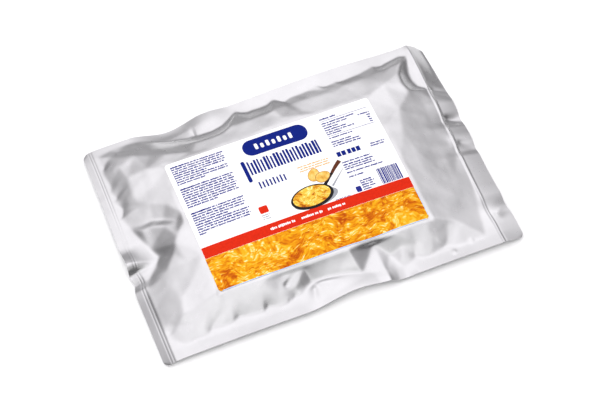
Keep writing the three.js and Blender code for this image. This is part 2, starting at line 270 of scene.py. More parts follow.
def film_point(x, y, height=None):
    """A point's place and its rise above the flange."""
    if height is None:
        level = FLANGE_HEIGHT
        for _ in range(4):
            px, py = on_sight_line(x, y, level)
            level = float(flange_height(np.array([px]), np.array([py]))[0])
        return px, py, 0.0
    px, py = on_sight_line(x, y, height)
    return px, py, height - float(flange_height(np.array([px]), np.array([py]))[0])


def facet_field():
    """The film's rise above the flange on an even grid, straight between the points of the creases."""
    points, edges = [], []
    known = {}

    def number(point):
        key = (point[0], point[1])
        if key not in known:
            known[key] = len(points)
            points.append(film_point(*point))
        return known[key]

    border = [number(point) for point in FOOT]
    for crease in CREASES:
        route = [number(point) for point in crease]
        edges += list(zip(route[:-1], route[1:]))
    plan = [Vector(point[:2]) for point in points]
    corners, _, faces, sources, _, _ = delaunay_2d_cdt(plan, edges, [border], 1, 1e-4, True)
    heights = np.array([points[source[0]][2] if source else np.nan for source in sources])
    places = np.array([corner[:] for corner in corners])
    xs = np.arange(LEFT, RIGHT + FACET_STEP, FACET_STEP)
    ys = np.arange(BOTTOM, TOP + FACET_STEP, FACET_STEP)
    x, y = np.meshgrid(xs, ys)
    field = np.zeros_like(x)
    for face in faces:
        (ax, ay), (bx, by), (cx, cy) = places[list(face)]
        turn = (bx - ax) * (cy - ay) - (cx - ax) * (by - ay)
        if abs(turn) < 1e-9:
            continue
        i = slice(max(0, int(min(ay, by, cy) - BOTTOM)), int(max(ay, by, cy) - BOTTOM) + 2)
        j = slice(max(0, int(min(ax, bx, cx) - LEFT)), int(max(ax, bx, cx) - LEFT) + 2)
        u = ((x[i, j] - ax) * (cy - ay) - (cx - ax) * (y[i, j] - ay)) / turn
        v = ((bx - ax) * (y[i, j] - ay) - (x[i, j] - ax) * (by - ay)) / turn
        inside = (u >= -1e-6) & (v >= -1e-6) & (u + v <= 1 + 1e-6)
        a, b, c = heights[list(face)]
        field[i, j] = np.where(inside, a + u * (b - a) + v * (c - a), field[i, j])
    return field


def blurred(field, reach):
    """The field blurred both ways by a bell of the given standard reach."""
    half = int(3 * reach) + 1
    kernel = np.exp(-0.5 * (np.arange(-half, half + 1) / reach) ** 2)
    kernel /= kernel.sum()
    for _ in range(2):
        padded = np.pad(field, ((0, 0), (half, half)), "edge")
        field = np.apply_along_axis(lambda row: np.convolve(row, kernel, "valid"), 1, padded).T
    return field


def sampled(field, x, y):
    """The field's value between its grid points."""
    u = np.clip((x - LEFT) / FACET_STEP, 0, field.shape[1] - 1.001)
    v = np.clip((y - BOTTOM) / FACET_STEP, 0, field.shape[0] - 1.001)
    i, j = u.astype(int), v.astype(int)
    u, v = u - i, v - j
    low = field[j, i] * (1 - u) + field[j, i + 1] * u
    high = field[j + 1, i] * (1 - u) + field[j + 1, i + 1] * u
    return low * (1 - v) + high * v


def film_rise(x, y, loose):
    """The film's rise above the flange, crisp where loose is 1 and evened out where it is 0."""
    return sampled(CRISP_FIELD, x, y) * loose + sampled(BROAD_FIELD, x, y) * (1 - loose)


def across(v, low, high):
    """A share from -1 to 1 of the way across the pillow between two welds."""
    return np.clip((2 * v - low - high) / (high - low), -1, 1)


def pillow(x, y, profile):
    power, soften = profile
    a = (1 - np.abs(across(x, LEFT + WELD["left"], RIGHT - WELD["right"])) ** power) ** soften
    b = (1 - np.abs(across(y, BOTTOM + WELD["bottom"], TOP - WELD["top"])) ** power) ** soften
    return a * b


def wave_parts(x, y):
    """Each wave with its share, from 0 to 1, at every x, y."""
    for side, place, half, rise, pull in WAVES:
        inside, along = from_side(side, x, y)
        share = bell((along - place) / half) * smooth(1 - inside / (3 * WELD[side]))
        yield side, rise * share, pull * share


# How far each flap hangs down at its edge: place along the side and drop.
DROOPS = {
    "left": [(-138, 5), (-60, 5.5), (-35, 3.5), (-20, -1), (15, 0), (40, 1), (80, 2.5), (138, 2)],
    "right": [(-138, 5.5), (-122, 4), (-104, 2.2), (-60, 5.2), (0, 6), (50, 6.8), (70, 9.3), (88, 11.5), (138, 12.5)],
    "top": [(-203, 0.5), (-150, 0.5), (-100, 2), (-80, 1.5), (-50, 0), (150, -0.5), (203, 0)],
    "bottom": [(-203, -1), (-100, -1.6), (-50, -1), (-35, 0), (40, 0), (52, 2), (68, 2), (80, -1), (120, -1.6), (203, -1)],
}
DROOP_WIDTH = {"left": 13.0, "right": 21.0, "top": 13.0, "bottom": 13.0}


def droop(x, y):
    total = np.zeros_like(x)
    for side, table in DROOPS.items():
        inside, along = from_side(side, x, y)
        places, drops = np.array(table, float).T
        share = np.clip(1 - inside / DROOP_WIDTH[side], 0, 1)
        total += np.interp(along, places, drops) * share**1.1
    return total


def softplus(v, width):
    """v where it is well above 0, easing to 0 below."""
    return width * np.logaddexp(0, v / width)


def flange_height(x, y):
    corner = np.abs(x / RIGHT) ** 6 * np.abs(y / TOP) ** 6 * (x < 0)
    waves = sum(rise for _, rise, _ in wave_parts(x, y))
    creases = sum(fold_depths(EDGE_FOLDS, x, y)) + dent_depths(EDGE_LUMPS, x, y)
    height = FLANGE_HEIGHT - CORNER_DROOP * corner + waves - droop(x, y) - creases
    return LOWEST_FLANGE + softplus(height - LOWEST_FLANGE, 1.0)


def round_corners(x, y, half_x, half_y, radius):
    """Turns the square corners of a grid into round ones."""
    a = np.clip((np.abs(x) - (half_x - radius)) / radius, 0, 1)
    b = np.clip((np.abs(y) - (half_y - radius)) / radius, 0, 1)
    px = x - np.sign(x) * radius * a * (1 - np.sqrt(1 - b * b / 2))
    py = y - np.sign(y) * radius * b * (1 - np.sqrt(1 - a * a / 2))
    return px, py


def place_in_plan(x, y):
    """Where a grid point lies once the film is drawn in and the corners are rounded."""
    px, py = x.copy(), y.copy()
    for side, _, pull in wave_parts(x, y):
        if side == "left":
            px += pull
        elif side == "right":
            px -= pull
        elif side == "top":
            py -= pull
        else:
            py += pull
    radius = np.where(x < 0, CORNER_RADIUS["left"], CORNER_RADIUS["right"])
    rx, ry = round_corners(x, y, RIGHT, TOP, radius)
    return px + rx - x, py + ry - y


def fold_line(root, tip, bow):
    """The points of a fold's route, a parabola from root to tip."""
    t = np.linspace(0, 1, FOLD_STEPS + 1)
    d = np.subtract(tip, root)
    lift = 4 * bow * t * (1 - t) / np.hypot(*d)
    return np.stack([root[0] + t * d[0] - lift * d[1], root[1] + t * d[1] + lift * d[0]], -1)


def nearest_on_line(line, x, y):
    """The share of a line's length at its nearest place to each x, y, and the distance, above 0 on its left."""
    share, offset = np.zeros_like(x), np.full_like(x, 1e9)
    steps = len(line) - 1
    for i in range(steps):
        a, u = line[i], line[i + 1] - line[i]
        t = np.clip(((x - a[0]) * u[0] + (y - a[1]) * u[1]) / (u @ u), 0, 1)
        vx, vy = x - a[0] - t * u[0], y - a[1] - t * u[1]
        distance = np.hypot(vx, vy)
        near = distance < np.abs(offset)
        left = u[0] * vy - u[1] * vx >= 0
        offset = np.where(near, np.where(left, distance, -distance), offset)
        share = np.where(near, (i + t) / steps, share)
    return share, offset


def fold_depths(folds, x, y, fade=0.78):
    """What creases take off the film, valleys and ridges apart. They fade over the last share of their way."""
    valleys, ridges = np.zeros_like(x), np.zeros_like(x)
    for root, tip, bow, depth, left, right, root_round, tip_round in folds:
        reach_most = max(left, right) + 2
        near = (x > min(root[0], tip[0]) - abs(bow) - reach_most) & (x < max(root[0], tip[0]) + abs(bow) + reach_most)
        near &= (y > min(root[1], tip[1]) - abs(bow) - reach_most) & (y < max(root[1], tip[1]) + abs(bow) + reach_most)
        share, offset = nearest_on_line(fold_line(root, tip, bow), x[near], y[near])
        reach = np.where(offset > 0, left, right) * (ROOT_REACH + (1 - ROOT_REACH) * np.sqrt(share))
        rounding = root_round + (tip_round - root_round) * share
        distance = np.sqrt(offset**2 + rounding**2) - rounding
        flank = np.clip(1 - distance / reach, 0, 1) ** 1.45
        lift = depth * flank * smooth(share / FOLD_RISE) * smooth((1 - share) / fade)
        if depth > 0:
            valleys[near] += lift
        else:
            ridges[near] += lift
    return valleys, ridges


def dent_depths(table, x, y):
    total = np.zeros_like(x)
    for place, half, turn, depth in table:
        c, n = math.cos(math.radians(turn)), math.sin(math.radians(turn))
        u = ((x - place[0]) * c + (y - place[1]) * n) / half[0]
        v = ((y - place[1]) * c - (x - place[0]) * n) / half[1]
        total += depth * smooth(1 - np.hypot(u, v))
    return total


def uneven(x, y, seed):
    """Seeded smooth noise, a sum of random plane waves."""
    random = np.random.default_rng(seed)
    total = np.zeros_like(x)
    for length, height in LUMPS:
        for _ in range(14):
            turn, phase = random.uniform(0, 2 * math.pi, 2)
            k = 2 * math.pi / (length * random.uniform(0.75, 1.35))
            total += height * np.sin(k * (x * math.cos(turn) + y * math.sin(turn)) + phase) / 3.7
    return total


def label_hold(x, y):
    """Folds die out where the label holds the film flat."""
    dx = np.abs(x - LABEL["x"]) - LABEL["length"] / 2
    dy = np.abs(y - LABEL["y"]) - LABEL["width"] / 2
    return smooth(np.maximum(dx, dy) / LABEL_MARGIN)


def bead(x, y):
    """The bead of the filling end, and the pressed lines along the left end's weld."""
    line = RIGHT - BEAD["inset"] + BEAD["slant"] * y / WIDTH
    pressed = sum(bell((x - LEFT - inset) / PRESSED["half_width"]) for inset in PRESSED["insets"])
    return BEAD["height"] * bell((x - line) / BEAD["half_width"]) - PRESSED["depth"] * pressed


def upper_film(x, y):
    hold = label_hold(x, y)
    rise = film_rise(x, y, hold)
    valleys, ridges = fold_depths(FOLDS, x, y)
    take = (valleys + dent_depths(DENTS, x, y)) * hold
    filled = smooth(rise / 6)
    unevenness = uneven(x, y, 5) * filled
    pressed = np.where(unevenness > 0, unevenness * hold, unevenness)
    base = flange_height(x, y) + FLANGE_THICKNESS / 2 + rise
    return base - np.minimum(take, 0.85 * rise) - ridges * hold + pressed + bead(x, y)


def under_folds():
    """Short creases of the lower film from its welds inwards, at seeded places."""
    random = np.random.default_rng(23)
    folds = []
    for side, half, foot in (("left", 115, 12), ("right", 115, 21), ("top", 175, 13), ("bottom", 175, 13)):
        for place in np.arange(-half, half + 1, 27.0):
            along = place + random.uniform(-9, 9)
            skew = random.uniform(-12, 12)
            length = random.uniform(16, 34)
            ends = [(along, foot - 2), (along + skew, foot + length)]
            if side == "left":
                root, tip = [(LEFT + inside, v) for v, inside in ends]
            elif side == "right":
                root, tip = [(RIGHT - inside, v) for v, inside in ends]
            elif side == "top":
                root, tip = [(v, TOP - inside) for v, inside in ends]
            else:
                root, tip = [(v, BOTTOM + inside) for v, inside in ends]
            folds.append((root, tip, random.uniform(-3, 3), random.uniform(0.8, 2.0), 8, 10, 0.6, 3))
    return folds


def lower_film(x, y):
    middle = flange_height(x, y)
    hang = (middle + SAG) * pillow(x, y, LOWER_PROFILE)
    puckers, _ = fold_depths(under_folds(), x, y)
    return np.maximum(0, middle - FLANGE_THICKNESS / 2 - hang + np.minimum(puckers, 0.5 * hang))


def crown(x, y):
    """The upper film with no creases, which the label follows."""
    return flange_height(x, y) + FLANGE_THICKNESS / 2 + film_rise(x, y, label_hold(x, y))


# ------------------------------------------------------------------ meshes
def closed_grid_arrays(px, py, upper, lower):
    """The points and four-sided faces of a closed body over a grid of places."""
    rows, columns = px.shape
    layer = rows * columns
    points = np.concatenate(
        [np.stack([px, py, upper], -1).reshape(-1, 3), np.stack([px, py, lower], -1).reshape(-1, 3)]
    )
    n = np.arange(layer).reshape(rows, columns)
    a, b, c, d = n[:-1, :-1], n[:-1, 1:], n[1:, 1:], n[1:, :-1]
    top = np.stack([a, b, c, d], -1).reshape(-1, 4)
    rim = np.concatenate([n[0, :-1], n[:-1, -1], n[-1, :0:-1], n[:0:-1, 0]])
    after = np.roll(rim, -1)
    sides = np.stack([rim, rim + layer, after + layer, after], -1)
    return points, np.concatenate([top, top[:, ::-1] + layer, sides])


def mesh_piece(name, points, faces, material):
    """A smooth-shaded mesh from points in millimetres in the pouch's own frame."""
    mesh = bpy.data.meshes.new(name)
    mesh.vertices.add(len(points))
    mesh.vertices.foreach_set("co", ((points + SHIFT) * MM).astype(np.float32).ravel())
    mesh.loops.add(faces.size)
    mesh.loops.foreach_set("vertex_index", faces.astype(np.int32).ravel())
    mesh.polygons.add(len(faces))
    mesh.polygons.foreach_set("loop_start", np.arange(0, faces.size, 4, dtype=np.int32))
    mesh.polygons.foreach_set("use_smooth", np.ones(len(faces), bool))
    mesh.update(calc_edges=True)
    mesh.validate()
    mesh.set_sharp_from_angle(angle=math.radians(60))
    piece = bpy.data.objects.new(name, mesh)
    bpy.context.scene.collection.objects.link(piece)
    mesh.materials.append(material)
    return piece


def closed_grid(name, px, py, upper, lower, material):
    return mesh_piece(name, *closed_grid_arrays(px, py, upper, lower), material)


def stations(low, high, step, fine=(), fine_step=None):
    """Places from low to high a step apart, and a fine_step apart in the ranges of fine."""
    places = [low]
    while places[-1] < high - 1e-6:
        here = places[-1]
        close = any(a - step <= here <= b for a, b in fine)
        places.append(min(high, here + (fine_step if close else step)))
    return np.array(places)


# ------------------------------------------------------------------ materials
def new_material(name):
    material = bpy.data.materials.new(name)
    material.use_nodes = True
    tree = material.node_tree
    return material, tree, tree.nodes["Principled BSDF"]


def node(tree, kind, inputs=(), **settings):
    """A node with its settings, and its inputs linked from sockets or set to values."""
    made = tree.nodes.new(kind)
    for key, value in settings.items():
        setattr(made, key, value)
    for key, value in dict(inputs).items():
        if isinstance(value, bpy.types.NodeSocket):
            tree.links.new(value, made.inputs[key])
        else:
            made.inputs[key].default_value = value
    return made


def ramp(tree, factor, stops):
    """A colour ramp through (position, colour) stops."""
    made = node(tree, "ShaderNodeValToRGB", {"Fac": factor})
    elements = made.color_ramp.elements
    while len(elements) < len(stops):
        elements.new(0.5)
    for element, (position, colour) in zip(elements, stops):
        element.position = position
        element.color = (*colour, 1)
    return made.outputs["Color"]


def mottle(tree, scale, detail=3.0, roughness=0.5):
    """Soft noise fixed to the object, from 0 to 1."""
    place = tree.nodes.new("ShaderNodeTexCoord").outputs["Object"]
    settings = {"Vector": place, "Scale": scale, "Detail": detail, "Roughness": roughness}
    return node(tree, "ShaderNodeTexNoise", settings).outputs["Fac"]


def shade_of(colour, factor):
    return tuple(min(1.0, part * factor) for part in colour)


FOIL_COLOUR = (0.60, 0.60, 0.605)
# How far, in metres, the ambient occlusion that paints shade into the foil's creases and folds looks for nearby film.
FOLD_SHADE_REACH = 0.022


def foil_material():
    """Satin foil laminate: a hair of unevenness in its colour, its gloss and its surface, with painted shade that
    darkens its colour in creases and folds.
    """
    material, tree, shader = new_material("satin_foil")
    slow = mottle(tree, 38.0, 4.0)
    colours = [(0.36, shade_of(FOIL_COLOUR, 0.97)), (0.64, shade_of(FOIL_COLOUR, 1.025))]
    # Painted shade: ambient occlusion darkens the foil's colour, down to half, in tight creases, folds and hollows.
    open_share = node(tree, "ShaderNodeAmbientOcclusion", {"Distance": FOLD_SHADE_REACH}, samples=16, only_local=True)
    painted_fold_shade = ramp(tree, open_share.outputs["AO"], [(0.5, (0.50, 0.50, 0.51)), (0.90, (1.0, 1.0, 1.0))])
    tone = node(
        tree,
        "ShaderNodeMix",
        {0: 1.0, 6: ramp(tree, slow, colours), 7: painted_fold_shade},
        data_type="RGBA",
        blend_type="MULTIPLY",
    )
    tree.links.new(tone.outputs[2], shader.inputs["Base Color"])
    gloss = node(tree, "ShaderNodeMapRange", {"Value": mottle(tree, 140.0, 5.0, 0.6), "To Min": 0.24, "To Max": 0.34})
    tree.links.new(gloss.outputs["Result"], shader.inputs["Roughness"])
    fine = mottle(tree, 260.0, 6.0, 0.65)
    bump = node(tree, "ShaderNodeBump", {"Height": fine, "Strength": 0.12, "Distance": 0.0005})
    tree.links.new(bump.outputs["Normal"], shader.inputs["Normal"])
    shader.inputs["Metallic"].default_value = 1.0
    return material


def paper_material():
    """Coated white paper, faintly cloudy."""
    material, tree, shader = new_material("label_paper")
    cloud = ramp(tree, mottle(tree, 90.0, 5.0, 0.6), [(0.3, (0.865, 0.865, 0.865)), (0.7, (0.895, 0.895, 0.895))])
    tree.links.new(cloud, shader.inputs["Base Color"])
    gloss = node(tree, "ShaderNodeMapRange", {"Value": mottle(tree, 300.0), "To Min": 0.38, "To Max": 0.54})
    tree.links.new(gloss.outputs["Result"], shader.inputs["Roughness"])
    bump = node(tree, "ShaderNodeBump", {"Height": mottle(tree, 900.0), "Strength": 0.1, "Distance": 0.0002})
    tree.links.new(bump.outputs["Normal"], shader.inputs["Normal"])
    return material


INK_GLOSS = 0.08


def ink_material(name, colour):
    """Flat ink that lies a little unevenly on its paper."""
    material, tree, shader = new_material(name)
    shades = [(0.3, shade_of(colour, 0.9)), (0.7, shade_of(colour, 1.1))]
    tree.links.new(ramp(tree, mottle(tree, 420.0, 4.0, 0.6), shades), shader.inputs["Base Color"])
    gloss = node(tree, "ShaderNodeMapRange", {"Value": mottle(tree, 300.0), "To Min": 0.42, "To Max": 0.58})
    tree.links.new(gloss.outputs["Result"], shader.inputs["Roughness"])
    shader.inputs["Specular IOR Level"].default_value = INK_GLOSS
    return material


def potato_material():
    material, tree, shader = new_material("ink_potato")
    place = tree.nodes.new("ShaderNodeTexCoord").outputs["Object"]
    noise = node(tree, "ShaderNodeTexNoise", {"Vector": place, "Scale": 160.0, "Detail": 3.0})
    stops = [(0.3, (0.52, 0.25, 0.035)), (0.5, (0.76, 0.45, 0.09)), (0.7, (0.88, 0.63, 0.22))]
    tree.links.new(ramp(tree, noise.outputs["Fac"], stops), shader.inputs["Base Color"])
    shader.inputs["Roughness"].default_value = 0.5
    shader.inputs["Specular IOR Level"].default_value = INK_GLOSS
    return material


STRIP_COLOURS = {
    "shreds": [
        (0.0, (0.48, 0.12, 0.001)), (0.18, (0.64, 0.21, 0.001)), (0.40, (0.71, 0.31, 0.004)),
        (0.60, (0.76, 0.41, 0.015)), (0.78, (0.80, 0.53, 0.10)), (1.0, (0.86, 0.73, 0.38)),
    ],
    "patches": [(0.32, (0.82, 0.50, 0.30)), (0.42, (0.98, 0.88, 0.8)), (0.50, (1.0, 1.0, 1.0))],
}
PAN_COLOURS = {
    "shreds": [
        (0.0, (0.46, 0.17, 0.01)), (0.25, (0.72, 0.40, 0.03)), (0.55, (0.84, 0.58, 0.09)),
        (0.8, (0.90, 0.71, 0.22)), (1.0, (0.94, 0.84, 0.48)),
    ],
    "patches": [(0.34, (0.58, 0.26, 0.08)), (0.44, (0.95, 0.80, 0.60)), (0.52, (1.0, 1.0, 1.0))],
}


def fried_material(name, colours, size):
    """Golden fried shreds: two crossing layers of long cells, with browner patches between."""
    material, tree, shader = new_material(name)
    place = tree.nodes.new("ShaderNodeTexCoord").outputs["Object"]
    bend = node(tree, "ShaderNodeTexNoise", {"Vector": place, "Scale": 34.0 / size, "Detail": 2.0})
    middle = node(tree, "ShaderNodeVectorMath", {0: bend.outputs["Color"], 1: (0.5, 0.5, 0.5)}, operation="SUBTRACT")
    push = node(tree, "ShaderNodeVectorMath", {0: middle.outputs[0], "Scale": 0.03 * size}, operation="SCALE")
    bent = node(tree, "ShaderNodeVectorMath", {0: place, 1: push.outputs[0]}, operation="ADD")
    layers = []
    for turn, stretch in ((24, 3.4), (-38, 2.8)):
        turned = node(
            tree,
            "ShaderNodeMapping",
            {
                "Vector": bent.outputs[0],
                "Rotation": (0, 0, math.radians(turn)),
                "Scale": (52 / size, 52 * stretch / size, 1),
            },
        )
        cells = node(tree, "ShaderNodeTexVoronoi", {"Vector": turned.outputs[0], "Randomness": 1.0})
        shade = node(tree, "ShaderNodeSeparateColor", {"Color": cells.outputs["Color"]})
        edge = node(tree, "ShaderNodeMapRange", {"Value": cells.outputs["Distance"], "From Max": 0.75, "To Min": 1.0, "To Max": 0.35})
        layers.append(node(tree, "ShaderNodeMath", {0: shade.outputs[0], 1: edge.outputs[0]}, operation="MULTIPLY").outputs[0])
    choose = node(tree, "ShaderNodeTexNoise", {"Vector": place, "Scale": 95.0 / size, "Detail": 3.0})
    sharper = node(tree, "ShaderNodeMapRange", {"Value": choose.outputs["Fac"], "From Min": 0.44, "From Max": 0.56})
    mixed = node(tree, "ShaderNodeMix", {0: sharper.outputs[0], 2: layers[0], 3: layers[1]})
    fine = node(tree, "ShaderNodeTexNoise", {"Vector": bent.outputs[0], "Scale": 210.0 / size, "Detail": 3.0, "Roughness": 0.5})
    grain = node(tree, "ShaderNodeMath", {0: mixed.outputs[0], 1: fine.outputs["Fac"]}, operation="ADD")
    broad = node(tree, "ShaderNodeTexNoise", {"Vector": bent.outputs[0], "Scale": 60.0 / size, "Detail": 3.0})
    heaps = node(tree, "ShaderNodeMath", {0: grain.outputs[0], 1: broad.outputs["Fac"]}, operation="ADD")
    spread = node(tree, "ShaderNodeMapRange", {"Value": heaps.outputs[0], "From Min": 0.93, "From Max": 1.80})
    shreds = ramp(tree, spread.outputs[0], colours["shreds"])
    patches = ramp(tree, broad.outputs["Fac"], colours["patches"])
    both = node(tree, "ShaderNodeMix", {0: 1.0, 6: shreds, 7: patches}, data_type="RGBA", blend_type="MULTIPLY")
    tree.links.new(both.outputs[2], shader.inputs["Base Color"])
    shader.inputs["Roughness"].default_value = 0.5
    shader.inputs["Specular IOR Level"].default_value = INK_GLOSS
    return material


# ------------------------------------------------------------------ pieces
FOIL_STEP = 1.6


def pouch_grid():
    xs = stations(LEFT, RIGHT, FOIL_STEP, [(LEFT + 6, LEFT + 13), (RIGHT - 28, RIGHT - 16)], 0.6)
    ys = stations(BOTTOM, TOP, FOIL_STEP)
    return np.meshgrid(xs, ys)


def centre_shift():
    """The shift that brings the outline's box onto the CAD pouch's."""
    px, py = place_in_plan(*pouch_grid())
    middle = (POUCH_LOW + POUCH_HIGH) / 2 / MM
    return np.array([middle.x - (px.min() + px.max()) / 2, middle.y - (py.min() + py.max()) / 2, 0])


def make_pouch(material):
    x, y = pouch_grid()
    px, py = place_in_plan(x, y)
    piece = closed_grid("foil_pouch", px, py, upper_film(x, y), lower_film(x, y), material)
    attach(piece, "root")
    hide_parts("pouch")
    return piece


PAPER_GAP = 0.1
PAPER_THICKNESS = 0.2
PAPER_STEP = 1.5


def label_grid():
    """The label's stations and the height of its top at each of them."""
    half_x, half_y = LABEL["length"] / 2, LABEL["width"] / 2
    xs = np.linspace(LABEL["x"] - half_x, LABEL["x"] + half_x, round(LABEL["length"] / PAPER_STEP) + 1)
    ys = np.linspace(LABEL["y"] - half_y, LABEL["y"] + half_y, round(LABEL["width"] / PAPER_STEP) + 1)
    return xs, ys, crown(*np.meshgrid(xs, ys)) + PAPER_GAP + PAPER_THICKNESS


def label_top(x, y):
    """The height of the label's top at places between its stations."""
    xs, ys, heights = LABEL_GRID
    u = np.clip((x - xs[0]) / (xs[1] - xs[0]), 0, len(xs) - 1.001)
    v = np.clip((y - ys[0]) / (ys[1] - ys[0]), 0, len(ys) - 1.001)
    i, j = u.astype(int), v.astype(int)
    u, v = u - i, v - j
    low = heights[j, i] * (1 - u) + heights[j, i + 1] * u
    high = heights[j + 1, i] * (1 - u) + heights[j + 1, i + 1] * u
    return low * (1 - v) + high * v


def make_label(material):
    xs, ys, heights = LABEL_GRID
    x, y = np.meshgrid(xs, ys)
    half_x, half_y = LABEL["length"] / 2, LABEL["width"] / 2
    rx, ry = round_corners(x - LABEL["x"], y - LABEL["y"], half_x, half_y, LABEL["radius"])
    px, py = rx + LABEL["x"], ry + LABEL["y"]
    top = label_top(px, py)
    piece = closed_grid("label_paper", px, py, top, top - PAPER_THICKNESS, material)
    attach(piece, "root")
    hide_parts("label")
    return piece


class Ink:
    """Thin closed patches of one ink, draped on the label. Places are from the label's centre."""

    def __init__(self, name, material, level=1):
        self.name, self.material = name, material
        self.lift = INK_LIFT * level
        self.points, self.faces, self.count = [], [], 0

    def patch(self, u, v):
        """A patch over a grid of places."""
        rows, columns = u.shape
        x, y = u + LABEL["x"], v + LABEL["y"]
        top = label_top(x, y) + self.lift
        points, faces = closed_grid_arrays(x, y, top, top - self.lift - INK_BITE)
        self.points.append(points)
        self.faces.append(faces + self.count)
        self.count += len(points)

    def block(self, left, right, low, high, radius=0.0):
        """A rectangle, with round corners if radius is above 0."""
        nu = max(2, int((right - left) / INK_STEP) + 2)
        nv = max(2, int((high - low) / INK_STEP) + 2)
        mu, mv, hu, hv = (left + right) / 2, (low + high) / 2, (right - left) / 2, (high - low) / 2
        us, vs = np.linspace(-hu, hu, nu), np.linspace(-hv, hv, nv)
        if radius > 0:
            ring = np.linspace(0, radius, 5)[1:]
            us = np.unique(np.concatenate([us[np.abs(us) < hu - radius], hu - radius + ring - 1e-9, ring - 1e-9 - hu]))
            vs = np.unique(np.concatenate([vs[np.abs(vs) < hv - radius], hv - radius + ring - 1e-9, ring - 1e-9 - hv]))
            us = np.unique(np.clip(np.concatenate([us, [-hu, hu]]), -hu, hu))
            vs = np.unique(np.clip(np.concatenate([vs, [-hv, hv]]), -hv, hv))
        u, v = np.meshgrid(us, vs)
        if radius > 0:
            u, v = round_corners(u, v, hu, hv, radius)
        self.patch(u + mu, v + mv)

    def oval(self, middle, half, turn=0.0, steps=14, shape=None):
        """An ellipse turned by some degrees. shape can bend its unit disc."""
        a, b = np.meshgrid(np.linspace(-1, 1, steps + 1), np.linspace(-1, 1, steps + 1))
        u, v = a * np.sqrt(1 - b * b / 2), b * np.sqrt(1 - a * a / 2)
        if shape:
            u, v = shape(u, v)
        u, v = u * half[0], v * half[1]
        c, n = math.cos(math.radians(turn)), math.sin(math.radians(turn))
        self.patch(middle[0] + u * c - v * n, middle[1] + u * n + v * c)

    def stroke(self, start, end, start_width, end_width, bow=0.0, steps=8):
        """A tapering bar from start to end."""
        t = np.linspace(0, 1, steps + 1)
        d = np.subtract(end, start)
        n = np.array([-d[1], d[0]]) / np.hypot(*d)
        width = start_width + (end_width - start_width) * t
        lift = 4 * bow * t * (1 - t)
        side = np.array([-0.5, 0.5])[:, None]
        u = start[0] + t * d[0] + n[0] * (lift + side * width)
        v = start[1] + t * d[1] + n[1] * (lift + side * width)
        self.patch(u, v)

    def words(self, left, right, base, size, random, letter=1.05, gap=0.22, fill=1.0):
        """A row of marks the size of small print, in groups the length of words. They spell nothing."""
        u = left
        end = left + (right - left) * fill
        while u < end - letter:
            for _ in range(random.integers(2, 10)):
                if u > end - letter:
                    break
                rise = size * random.choice([1.0, 1.0, 1.0, 1.25])
                drop = size * random.choice([0.0, 0.0, 0.0, 0.2])
                wide = letter * random.uniform(0.75, 1.1)
                self.block(u, u + wide, base - drop, base + rise)
                u += wide + gap
            u += 0.75 * letter

    def finish(self):
        piece = mesh_piece(self.name, np.concatenate(self.points), np.concatenate(self.faces), self.material)
        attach(piece, "root")
        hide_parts("label")
        return piece


INK_LIFT = 0.06
INK_BITE = 0.05
INK_STEP = 1.5
LINE_PITCH = 3.0
TITLE_STROKES = 22
TITLE_LEFT = -36.5
TITLE_PITCH = 3.75


def print_small_text(text, random):
    """Rows of marks in the places of the label's small print."""
    left, right = -114.0, -54.0
    for top, fills in zip(PARAGRAPH_TOPS, LEFT_FILLS):
        for i, fill in enumerate(fills):
            text.words(left, right, top - 2 - i * LINE_PITCH, 1.55, random, gap=0.12, fill=fill)
    for row, start, end in RIGHT_ROWS:
        text.words(start, end, row, 1.45, random, gap=0.12)
    text.words(34, 52, -29.6, 0.8, random, letter=0.75, gap=0.25)


PARAGRAPH_TOPS = (78.3, 47.0, 14.2)
LEFT_FILLS = [
    (1, 0.97, 1, 0.99, 0.98, 0.62, 1, 0.98, 0.55),
    (1, 0.98, 1, 0.96, 1, 0.99, 0.97, 1, 0.58),
    (1, 0.97, 1, 0.98, 0.63, 1, 0.98, 1, 0.97, 0.15),
]
RIGHT_ROWS = [
    (68.0, 58.5, 98), (64.7, 58.5, 87), (61.3, 58.5, 76), (58.0, 58.5, 84), (54.8, 58.5, 92), (51.8, 58.5, 76),
    (64.7, 100, 113.5), (61.3, 109, 113.5), (58.0, 109, 113.5), (54.8, 109.5, 113.5), (51.8, 109.5, 113.5),
    (46.0, 58.5, 86), (40.0, 58.5, 82), (37.0, 58.5, 92), (34.0, 58.5, 91), (23.0, 97, 113.5), (20.0, 96, 112),
    (10.6, 58.5, 92), (7.0, 58.5, 93), (4.2, 58.5, 91), (1.4, 58.5, 93), (-3.4, 58.5, 100), (-9.0, 58.5, 75),
    (-17.5, 67, 81), (-20.3, 67, 83), (-23.1, 67, 81), (-25.9, 67, 82), (-28.7, 67, 78),
]


# The two potatoes: middle, half sizes, turn.
POTATOES = [((24.4, 8.2), (5.8, 8.0), -28), ((32.6, 2.8), (5.9, 8.2), -72)]


def print_barcode(ink, left, right, low, high, random):
    u = left
    while u < right - 0.6:
        wide = random.choice([0.7, 0.7, 1.2, 1.7])
        ink.block(u, u + wide, low, high)
        u += wide + random.choice([0.4, 0.4, 0.7])


